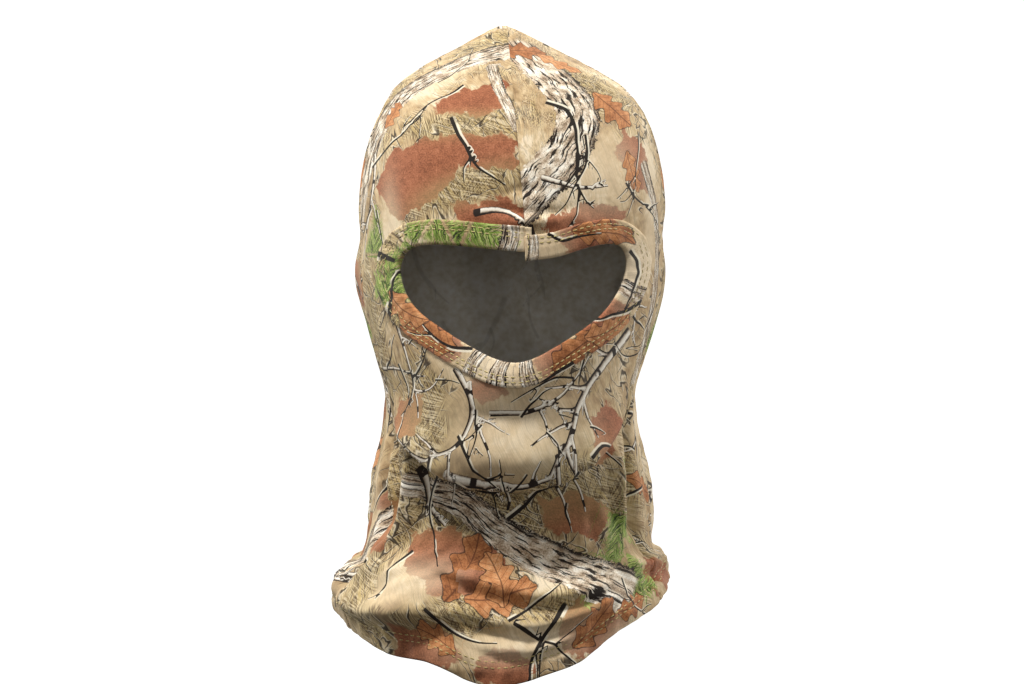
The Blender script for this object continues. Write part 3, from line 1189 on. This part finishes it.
def needles(g, color):
    """Sprigs of pine."""
    p, q, length = g.attr("pine")
    side = abs(q)
    strand = p + g.fine * 5.0 - side * (g.mid * 2.0 + 0.35)
    needle = g.noise(g.vec(strand / 0.62, q / 5.0, 0.0), 1.0, 2.0, 0.6)
    hue = g.noise(g.vec(strand / 1.1, q / 7.0, 5.0), 1.0)
    spread = (1.12 - p / length) * 11.0 + (hue - 0.5) * 22.0
    sprig = g.inside(side - spread, 0.0, 1.2) * g.step(needle, 0.40, 0.05) * g.step(p, -2.0, 1.0)
    green = g.ramp(hue, [(0.36, (0.13, 0.18, 0.07)), (0.45, (0.30, 0.39, 0.14)), (0.54, (0.50, 0.59, 0.24)),
                         (0.66, (0.68, 0.73, 0.42))])
    return g.mix(sprig * g.inside(side, 40.0, 2.0), color, green)


def bark(g, color):
    """Trunks with long dark furrows between pale ridges."""
    s, t, d = g.attr("bark")
    on = g.inside(abs(s) + (g.fine - 0.5) * 0.55, 0.96, 0.03) * g.inside(d, 1.6, 0.2)
    warp = (g.noise(g.vec(s, t / 12.0, 0.0), 1.0) - 0.5) * 3.4
    furrow = g.noise(g.vec(s * 6.4 + warp, t / 17.0, 2.0), 1.0, 5.0, 0.66)
    plate = g.noise(g.vec(s * 2.4, t / 8.0, 8.0), 1.0)
    pale = g.ramp(plate * 0.7 + g.grain * 0.35, [
        (0.34, (0.42, 0.34, 0.26)), (0.44, (0.64, 0.55, 0.45)), (0.53, (0.83, 0.76, 0.66)),
        (0.64, (0.95, 0.92, 0.86))])
    wood = g.mix(g.step(furrow, 0.535, 0.025), pale, INK)
    wood = g.mix(g.step(s, 0.76, 0.12) * g.step(g.grain, 0.44, 0.06), wood, INK)
    return g.mix(on, color, wood)


def leaves(g, color, key):
    """Lobed leaves with a dark rim and veins."""
    p, q, hue = g.attr(key)
    ap, aq = abs(p), abs(q)
    body = g.m("POWER", g.m("MAXIMUM", 1.0 - ap * ap), 0.55)
    lobe = g.m("COSINE", p * 10.5 - aq * 3.0) * 0.26 + 0.74
    out = aq - (body * lobe * 0.60 + (g.fine - 0.5) * 0.16)
    leaf = g.inside(out, 0.0, 0.015) * g.inside(ap, 1.0, 0.03)
    rim = g.inside(out, 0.045, 0.02) * g.inside(ap, 1.03, 0.03)
    rib = g.m("FRACT", (p - aq * 0.9) * 3.4 + 10.0)
    veins = g.m("MAXIMUM", g.inside(abs(rib - 0.5), 0.045, 0.03) * 0.8, g.inside(aq, 0.022, 0.012))
    tint = g.fine * 0.30 + (g.mid + g.grain) * 0.30 + hue * 0.25
    tan = g.ramp(tint, [(0.40, (0.36, 0.20, 0.11)), (0.52, (0.60, 0.37, 0.21)), (0.62, (0.75, 0.51, 0.32)),
                        (0.76, (0.86, 0.68, 0.49))])
    tan = g.mix(g.step(g.grain, 0.60, 0.05) * 0.45, tan, (0.42, 0.25, 0.15))
    tan = g.mix(veins * 0.8, tan, (0.34, 0.19, 0.11))
    return g.mix(leaf, g.mix(rim * 0.85, color, (0.15, 0.10, 0.07)), tan)


def limbs(g, color):
    """Bare limbs, lit on one side and dark on the other, with dark knots."""
    s, t, d = g.attr("limb")
    across = s + (g.fine - 0.5) * 0.7
    rod = g.ramp(across * 0.5 + 0.5, [
        (0.0, (0.12, 0.09, 0.07)), (0.24, (0.16, 0.12, 0.09)), (0.32, (0.58, 0.51, 0.43)),
        (0.52, (0.87, 0.83, 0.76)), (0.80, (0.95, 0.92, 0.86)), (0.92, (0.55, 0.47, 0.38)),
        (1.0, (0.18, 0.14, 0.10))])
    knots = g.noise(g.vec(t / 7.0, 0.0, 0.0), 1.0, 1.0) + (g.fine - 0.5) * 0.25
    rod = g.mix(g.step(knots, 0.58, 0.02), rod, (0.15, 0.11, 0.085))
    return g.mix(g.inside(abs(s), 1.0, 0.06) * g.inside(d, 1.9, 0.2), color, rod)


def twigs(g, color):
    """Thin dark twigs, some with a pale edge."""
    s, t, d = g.attr("twig")
    near = g.inside(d, 4.5, 0.4)
    some = g.step(g.noise(g.vec(t / 14.0, 3.0, 0.0), 1.0, 1.0), 0.46, 0.03)
    lit = g.step(s, 0.7, 0.2) * g.inside(s, 2.3, 0.25) * near * some
    color = g.mix(lit * 0.85, color, (0.91, 0.87, 0.78))
    return g.mix(g.inside(abs(s), 1.0, 0.18) * near, color, (0.13, 0.10, 0.075))


def print_material(name):
    """The woodland print, layer over layer, on a knit that shows through."""
    g = Print(name)
    area, cream, straw = g.attr("tone")
    color, patch = brick(g, ground(g, cream, straw), area)
    color = g.mix(straw * 0.30, color, (0.76, 0.715, 0.49))
    color = g.mix(cream * 0.6, color, (0.86, 0.775, 0.64))
    color = grass(g, color, patch, cream, straw)
    color = bark(g, needles(g, color))
    color = leaves(g, leaves(g, color, "leafa"), "leafb")
    color = twigs(g, limbs(g, color))
    knit = g.m("SINE", g.v * COURSE) * g.m("SINE", (g.u + g.v * 0.5) * COURSE)
    tone = g.grain * 0.24 + 0.88 + knit * 0.05
    grey = g.node("ShaderNodeCombineColor", {0: tone, 1: tone, 2: tone}).outputs[0]
    return g.finish_cloth(g.mix(1.0, color, grey, "MULTIPLY"), knit, g.grain)


def reverse_material():
    """The unprinted side: pale, with the print ghosting through."""
    g = Net("knit_reverse")
    u, v, _ = g.attr("uvm")
    flat = g.vec(u, v, 0.0)
    cloud = g.noise(flat, 1 / 13, 3.0, 0.6) * 0.7 + g.noise(flat, 1 / 3.2, 3.0) * 0.3
    color = g.ramp(cloud, [
        (0.35, (0.82, 0.79, 0.73)), (0.52, (0.90, 0.88, 0.84)), (0.70, (0.95, 0.94, 0.92))])
    for key, edge in (("bark", 1.0), ("limb", 1.0), ("twig", 1.2)):
        s, _, d = g.attr(key)
        color = g.mix(g.inside(abs(s), edge, 0.5) * g.inside(d, 2.5, 0.8) * 0.22, color, (0.45, 0.42, 0.38))
    knit = g.m("SINE", u * COURSE) * g.m("SINE", v * COURSE)
    return g.finish_cloth(color, knit, g.noise(flat, 1 / 0.9), 0.88)


def thread_material(name, dark, light):
    """Twisted polyester thread."""
    g = Net(name)
    pos = g.node("ShaderNodeTexCoord", {}).outputs["Object"]
    wave = g.node("ShaderNodeTexWave", {"Vector": pos, "Scale": 900.0, "Distortion": 1.0},
                  bands_direction="DIAGONAL")
    twist, tone = Number(g, wave.outputs["Fac"]), g.noise(pos, 400.0)
    g.put(g.bsdf.inputs["Base Color"], g.ramp(twist * 0.4 + tone * 0.6, [(0.3, dark), (0.7, light)]))
    g.bump(0.4, 0.0001, twist)
    g.put(g.bsdf.inputs["Roughness"], tone * 0.2 + 0.5)
    g.bsdf.inputs["Sheen Weight"].default_value = 0.3
    return g.mat


def overlock_material():
    """Cloth edge looped over with pale thread."""
    g = Net("overlock")
    u, v, _ = g.attr("uvm")
    slanted = g.vec(u + v * 0.5, v, 0.0)
    wave = g.node("ShaderNodeTexWave", {"Vector": slanted, "Scale": 0.16, "Distortion": 1.2, "Detail": 2.0},
                  bands_direction="X")
    loops, tone = Number(g, wave.outputs["Fac"]), g.noise(g.vec(u, v, 0.0), 1.2)
    color = g.ramp(loops * 0.7 + tone * 0.3, [
        (0.25, (0.50, 0.43, 0.31)), (0.50, (0.74, 0.67, 0.53)), (0.75, (0.88, 0.83, 0.72))])
    return g.finish_cloth(color, loops, tone)


def label_material():
    """A blank satin-woven label."""
    g = Net("label_satin")
    u, v, _ = g.attr("uvm")
    weave = g.m("SINE", u * 14.0) * g.m("SINE", v * 9.0)
    tone = g.noise(g.vec(u, v, 0.0), 0.8)
    color = g.ramp(tone, [(0.35, (0.84, 0.83, 0.80)), (0.65, (0.93, 0.925, 0.91))])
    return g.finish_cloth(color, weave, tone, 0.5)


def plain(name, color, glow):
    """A flat material for the stage, which also glows."""
    mat = bpy.data.materials.new(name)
    mat.use_nodes = True
    for key, value in (("Base Color", color), ("Roughness", 0.9), ("Emission Color", color),
                       ("Emission Strength", glow)):
        mat.node_tree.nodes["Principled BSDF"].inputs[key].default_value = value
    return mat


# ---------------------------------------------------------------- build
cloth_front, cloth_back = print_material("print_front"), print_material("print_back")
cloth_in = reverse_material()
band_mat = print_material("print_binding")
thread_mat = thread_material("thread", (0.60, 0.52, 0.28), (0.84, 0.77, 0.50))
lock, label_mat = overlock_material(), label_material()


def front_paint(verts, faces, u, v, plan):
    """The front's print, which breaks at the forehead seam: its layer of noise and its motifs."""
    left = np.zeros(len(verts), bool)
    for face in faces:
        ids = list(face)
        x, _, z = verts[ids].mean(0)
        if z > 2 and x > seam_line_x(z):
            left[ids] = True
    w = left * 45.0 * bell(verts[:, 0] - seam_line_x(verts[:, 2]), 22)
    one, two = painted(u, v, half(plan, False)), painted(u, v, half(plan, True))
    return w, {key: np.where(left[:, None], two[key], one[key]) for key in one}


def panel(name, data, back, plan, mat):
    """A cut panel as cloth: printed outside, pale inside, with real thickness."""
    verts, faces, frac, z = data
    u, v = uv(frac, z, back)
    w, paint = (0.0, painted(u, v, plan)) if back else front_paint(verts, faces, u, v, plan)
    ob = mesh_object(name, verts, faces, {"uvm": uv_attr(u, v, w), **paint}, [mat, cloth_in])
    sol = ob.modifiers.new("cloth", "SOLIDIFY")
    sol.thickness, sol.offset, sol.use_even_offset = CLOTH * MM, -1, False
    sol.material_offset, sol.material_offset_rim = 1, 0
    return ob


front, back = cut_panels(*build_hood())
front_ob = panel("front_panel_cloth", cut_opening(*front), False, front_print(), cloth_front)
back_ob = panel("back_panel_cloth", back, True, scattered_print(77, ((-200, -205), (200, 190))), cloth_back)
band_verts, band_faces, run, across = binding()
band_ob = mesh_object("eye_binding_cloth", band_verts, band_faces,
                      {"uvm": uv_attr(run, across), **painted(run, across, band_print())}, [band_mat])

edge, outward = opening_line(500)


def face_row(grow):
    """A line round the opening, at a distance from its edge."""
    x, z = (edge + outward * grow).T
    return frac_at(x, z), z


brow_z = np.linspace(22.5, 124.0, 220)
brow = frac_at(seam_line_x(brow_z), brow_z), brow_z
join_z = np.linspace(9.5, 19.5, 30)
join_x = np.full(30, 8.2)
around = np.linspace(0, 1, 1600)
hem_rows = [hem_z(around) + row for row in HEM_ROWS]
trims = {
    "crown_side_seam_overlock": ridge("crown_side_seam_roll", *long_seam(), 5.0, lock),
    "forehead_seam_overlock": ridge("forehead_seam_roll", *brow, 4.0, lock),
    "binding_seam_overlock": ridge("binding_seam_roll", *face_row(BAND + 1.6), 5.0, lock),
    "binding_join_stitch": threads("binding_join_threads", frac_at(join_x, join_z), join_z, 2.15, thread_mat),
    "binding_topstitch_inner": threads("binding_threads_inner", *face_row(BAND_ROWS[0]), 1.15, thread_mat),
    "binding_topstitch_outer": threads("binding_threads_outer", *face_row(BAND_ROWS[1]), 1.10, thread_mat),
    "hem_topstitch_lower": threads("hem_threads_lower", around, hem_rows[0], 0.12, thread_mat),
    "hem_topstitch_upper": threads("hem_threads_upper", around, hem_rows[1], 0.12, thread_mat),
    "care_label": care_label("care_label_cloth", label_mat),
    "front_panel": front_ob, "back_panel": back_ob, "eye_binding": band_ob,
}
for node, piece in trims.items():
    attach(piece, "root")
    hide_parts(node)

# ---------------------------------------------------------------- stage
scene = bpy.context.scene
cam = bpy.data.objects.new("camera", bpy.data.cameras.new("camera"))
scene.collection.objects.link(cam)
cam.location = (0, -1.795, -0.036)
cam.rotation_euler = (math.radians(90), 0, 0)
cam.data.lens, cam.data.sensor_width = 117.6, 36
scene.camera = cam

scene.view_settings.view_transform = "Standard"
world = bpy.data.worlds.new("world")
scene.world = world
world.use_nodes = True
world.node_tree.nodes["Background"].inputs["Color"].default_value = (1, 1, 1, 1)
world.node_tree.nodes["Background"].inputs["Strength"].default_value = 0.15


def softbox(name, place, aim, size, power):
    lamp = bpy.data.lights.new(name, "AREA")
    lamp.shape, lamp.size, lamp.size_y, lamp.energy = "RECTANGLE", size[0], size[1], power
    ob = bpy.data.objects.new(name, lamp)
    scene.collection.objects.link(ob)
    ob.location = place
    ob.rotation_euler = (Vector(aim) - Vector(place)).to_track_quat("-Z", "Y").to_euler()


softbox("key", (-0.42, -0.66, 1.70), (0, 0, -0.02), (0.45, 0.45), 48)
softbox("fill", (1.1, -1.4, 0.55), (0, 0, -0.03), (0.7, 0.9), 4)
softbox("front", (0.0, -2.2, 0.1), (0, 0, -0.03), (0.4, 0.4), 3)
softbox("rim_left", (-1.3, 0.55, 0.25), (0, 0, -0.03), (0.5, 1.4), 16)
softbox("rim_right", (1.3, 0.55, 0.25), (0, 0, -0.03), (0.5, 1.4), 20)
softbox("behind", (0.1, 1.6, 0.9), (0, 0, -0.03), (0.9, 0.7), 16)


def stage_object(name, verts, faces, material):
    """A piece of the surroundings, left out of the part."""
    me = bpy.data.meshes.new(name)
    me.from_pydata(verts, [], faces)
    me.materials.append(material)
    ob = bpy.data.objects.new(name, me)
    scene.collection.objects.link(ob)
    return ob


SIDES = 64
turns = [k * math.pi / 32 for k in range(SIDES)]
disc = [(2.0 * math.cos(a), 2.0 * math.sin(a), -0.5) for a in turns]
floor = stage_object("floor", disc, [tuple(range(SIDES))], plain("floor", lin(0.93, 0.93, 0.93), 0.72))
drum = [(9 * math.cos(a), 9 * math.sin(a), z) for z in (-9, 9) for a in turns]
sheets = [(k, (k + 1) % SIDES, SIDES + (k + 1) % SIDES, SIDES + k) for k in range(SIDES)]
ends = [tuple(range(SIDES)), tuple(range(SIDES, 2 * SIDES))]
backdrop = stage_object("backdrop", drum, sheets + ends, plain("backdrop", (1, 1, 1, 1), 1.0))
floor.visible_diffuse = floor.visible_glossy = False
backdrop.visible_diffuse = backdrop.visible_glossy = False
backdrop.visible_shadow = backdrop.visible_transmission = False
